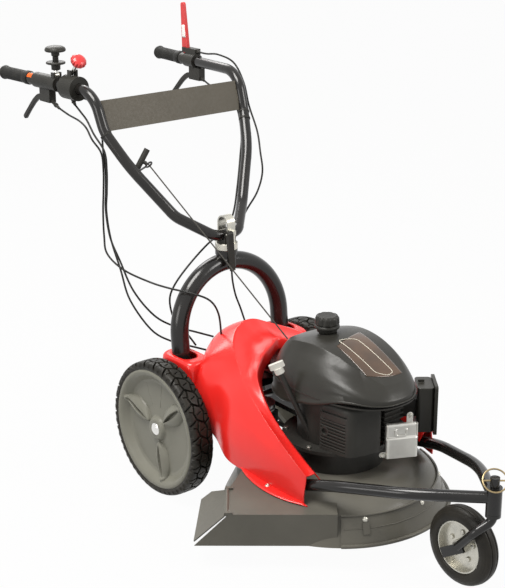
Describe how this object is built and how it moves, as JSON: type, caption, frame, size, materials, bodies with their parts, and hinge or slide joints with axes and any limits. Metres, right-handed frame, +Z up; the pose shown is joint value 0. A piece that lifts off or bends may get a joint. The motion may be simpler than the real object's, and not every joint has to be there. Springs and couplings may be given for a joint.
{
  "type": "walk_behind_brush_mower",
  "caption": "Walk-behind rough-grass mower: grey deck with a side chute, red rear cover, black engine, tall swivelling handlebar with hand levers, caster front wheel",
  "frame": {"origin": "on the ground under the middle of the mower's footprint, cables and rope left out", "axes": "+Z up, +Y from the caster wheel back to the handlebar, +X to the operator's left"},
  "size_m": [0.726, 1.635, 1.1745],
  "materials": {
    "red_cover": "moulded red cover, glossy",
    "deck_paint": "warm grey powder coat, satin",
    "wheel_plastic": "moulded grey green plastic, satin",
    "tyre_rubber": "black tyre rubber, matte",
    "black_tube": "black enamel on steel tube, gloss",
    "plate_paint": "grey brown painted plate, satin",
    "black_plastic": "moulded black plastic, satin",
    "grip_rubber": "black rubber, matte",
    "rope_fibre": "pale twisted cord",
    "red_knob": "ribbed red knob on a plated rod",
    "pale_plastic": "pale grey plastic",
    "engine_alloy": "dark coated cast alloy",
    "iron": "cast iron",
    "sheet_alloy": "pressed bright sheet",
    "zinc_steel": "zinc plated steel",
    "bare_steel": "bare steel"
  },
  "bodies": {
    "chassis": {"deck_shell": "deck_paint", "front_skirt": "deck_paint", "discharge_chute": "deck_paint", "rear_chassis": "black_tube", "hoop": "black_tube", "fairing": "red_cover", "hoop_foot_covers": "red_cover", "front_wishbone": "black_tube", "gearbox_housing": "engine_alloy", "engine_block": "engine_alloy", "engine_cover": "black_plastic", "fuel_tank": "black_plastic", "muffler": "bare_steel", "muffler_guard": "black_plastic", "heat_shield": "sheet_alloy", "air_filter_box": "black_plastic", "air_filter_cover": "black_plastic", "carburettor": "black_plastic", "drive_belt": "grip_rubber", "fasteners": "zinc_steel", "right_cables": "grip_rubber", "left_cables": "grip_rubber", "starter_rope": "rope_fibre"},
    "crank": {"crankshaft": "bare_steel", "flywheel": "iron", "blade": "bare_steel"},
    "idler": {"idler_arm": "bare_steel"},
    "input": {"input_shaft": "bare_steel"},
    "drive_axle": {"drive_axle": "bare_steel"},
    "right_wheel": {"right_rim": "wheel_plastic", "right_tyre": "tyre_rubber", "right_hub_cap": "zinc_steel"},
    "left_wheel": {"left_rim": "wheel_plastic", "left_tyre": "tyre_rubber", "left_hub_cap": "zinc_steel"},
    "caster_fork": {"caster_fork": "black_tube", "lynch_pin": "zinc_steel"},
    "caster_wheel": {"caster_rim": "zinc_steel", "caster_tyre": "tyre_rubber"},
    "swivel_head": {"swivel_head": "zinc_steel", "swivel_ring": "zinc_steel", "clamp_strap": "zinc_steel"},
    "clamp_lever": {"clamp_lever": "black_plastic"},
    "handlebar": {"handlebar_tube": "black_tube", "cross_plate": "plate_paint", "grips": "grip_rubber", "right_control_bracket": "black_plastic", "left_control_bracket": "black_plastic", "gear_housing": "black_plastic"},
    "right_lever": {"right_lever": "black_plastic"},
    "left_lever": {"left_lever": "black_plastic"},
    "safety_lever": {"safety_lever": "red_cover"},
    "throttle_lever": {"throttle_lever": "black_plastic"},
    "lock_collar": {"lock_collar": "black_plastic"},
    "gear_lever": {"gear_lever": "red_knob"},
    "starter_handle": {"starter_handle": "black_plastic"},
    "starter_pulley": {"starter_pulley": "black_plastic"},
    "fuel_cap": {"fuel_cap": "black_plastic"},
    "oil_cap": {"oil_cap": "pale_plastic"},
    "chute_flap": {"chute_flap": "deck_paint"}
  },
  "joints": [
    {"name": "axle_spin", "type": "hinge", "parent": "chassis", "child": "drive_axle", "pos_m": [0.07837, 0.11999, 0.18], "axis": [1, 0, 0], "continuous": true},
    {"name": "right_wheel_spin", "type": "hinge", "parent": "drive_axle", "child": "right_wheel", "pos_m": [-0.17263, 0.11999, 0.18], "axis": [1, 0, 0], "continuous": true},
    {"name": "left_wheel_spin", "type": "hinge", "parent": "drive_axle", "child": "left_wheel", "pos_m": [0.32937, 0.11999, 0.18], "axis": [1, 0, 0], "continuous": true},
    {"name": "input_spin", "type": "hinge", "parent": "chassis", "child": "input", "pos_m": [0.07837, 0.02999, 0.2], "axis": [0, 0, 1], "continuous": true},
    {"name": "crank_spin", "type": "hinge", "parent": "chassis", "child": "crank", "pos_m": [0.07837, -0.27401, 0.3], "axis": [0, 0, 1], "continuous": true},
    {"name": "caster_swivel", "type": "hinge", "parent": "chassis", "child": "caster_fork", "pos_m": [0.07837, -0.79101, 0.25], "axis": [0, 0, 1], "continuous": true},
    {"name": "caster_spin", "type": "hinge", "parent": "caster_fork", "child": "caster_wheel", "pos_m": [0.07837, -0.70901, 0.097], "axis": [1, 0, 0], "continuous": true},
    {"name": "bar_swivel", "type": "hinge", "parent": "chassis", "child": "swivel_head", "pos_m": [0.07837, 0.16572, 0.6], "axis": [0, 0, 1], "range_deg": [-25, 25], "deforming": ["right_cables", "left_cables", "starter_rope"]},
    {"name": "bar_tilt", "type": "hinge", "parent": "swivel_head", "child": "handlebar", "pos_m": [0.07837, 0.16572, 0.646], "axis": [1, 0, 0], "range_deg": [-12, 12], "deforming": ["right_cables", "left_cables", "starter_rope"]},
    {"name": "clamp_swing", "type": "hinge", "parent": "swivel_head", "child": "clamp_lever", "pos_m": [0.06337, 0.13522, 0.654], "axis": [-1, 0, 0], "range_deg": [0, 100]},
    {"name": "right_lever_squeeze", "type": "hinge", "parent": "handlebar", "child": "right_lever", "pos_m": [-0.17266, 0.62236, 0.969], "axis": [1, 0, 0], "range_deg": [0, 25], "stiffness_Nm_per_rad": 1.2, "springref_deg": -25},
    {"name": "left_lever_squeeze", "type": "hinge", "parent": "handlebar", "child": "left_lever", "pos_m": [0.3294, 0.62236, 0.969], "axis": [1, 0, 0], "range_deg": [0, 25], "stiffness_Nm_per_rad": 1.2, "springref_deg": -25},
    {"name": "idler_swing", "type": "hinge", "parent": "chassis", "child": "idler", "pos_m": [0.17037, -0.14201, 0.24], "axis": [0, 0, 1], "range_deg": [0, 8]},
    {"name": "safety_swing", "type": "hinge", "parent": "handlebar", "child": "safety_lever", "pos_m": [0.33227, 0.66827, 1.041], "axis": [-1, 0, 0], "range_deg": [0, 70], "stiffness_Nm_per_rad": 0.3, "springref_deg": -20},
    {"name": "throttle_swing", "type": "hinge", "parent": "handlebar", "child": "throttle_lever", "pos_m": [-0.16954, 0.57246, 1.037], "axis": [1, 0, 0], "range_deg": [-15, 15]},
    {"name": "lock_slide", "type": "slide", "parent": "throttle_lever", "child": "lock_collar", "axis": [0, 0, 1], "range_m": [0, 0.012], "stiffness_N_per_m": 250, "springref_m": -0.004},
    {"name": "gear_swing", "type": "hinge", "parent": "handlebar", "child": "gear_lever", "pos_m": [-0.16499, 0.4996, 1.053], "axis": [1, 0, 0], "range_deg": [-20, 20]},
    {"name": "starter_pull", "type": "slide", "parent": "handlebar", "child": "starter_handle", "axis": [0.0998, 0.9279, 0.3592], "range_m": [0, 0.33], "stiffness_N_per_m": 12, "springref_m": -0.06},
    {"name": "starter_turn", "type": "hinge", "parent": "chassis", "child": "starter_pulley", "pos_m": [0.07837, -0.27401, 0.406], "axis": [0, 0, 1], "range_deg": [0, 480]},
    {"name": "fuel_cap_turn", "type": "hinge", "parent": "chassis", "child": "fuel_cap", "pos_m": [0.09037, -0.21801, 0.5], "axis": [0, 0, 1], "range_deg": [0, 120]},
    {"name": "oil_cap_turn", "type": "hinge", "parent": "chassis", "child": "oil_cap", "pos_m": [-0.06963, -0.22801, 0.412], "axis": [-0.3019, 0.2811, 0.911], "range_deg": [0, 90]},
    {"name": "flap_swing", "type": "hinge", "parent": "chassis", "child": "chute_flap", "pos_m": [-0.30408, -0.31062, 0.141], "axis": [0.6314, 0.7605, 0.1513], "range_deg": [0, 50]}
  ],
  "couplings": [
    {"joint": "input_spin", "follows": "axle_spin", "ratio": 20},
    {"joint": "idler_swing", "follows": "left_lever_squeeze", "ratio": 0.32},
    {"joint": "starter_turn", "follows": "starter_pull", "rad_per_m": 25}
  ]
}
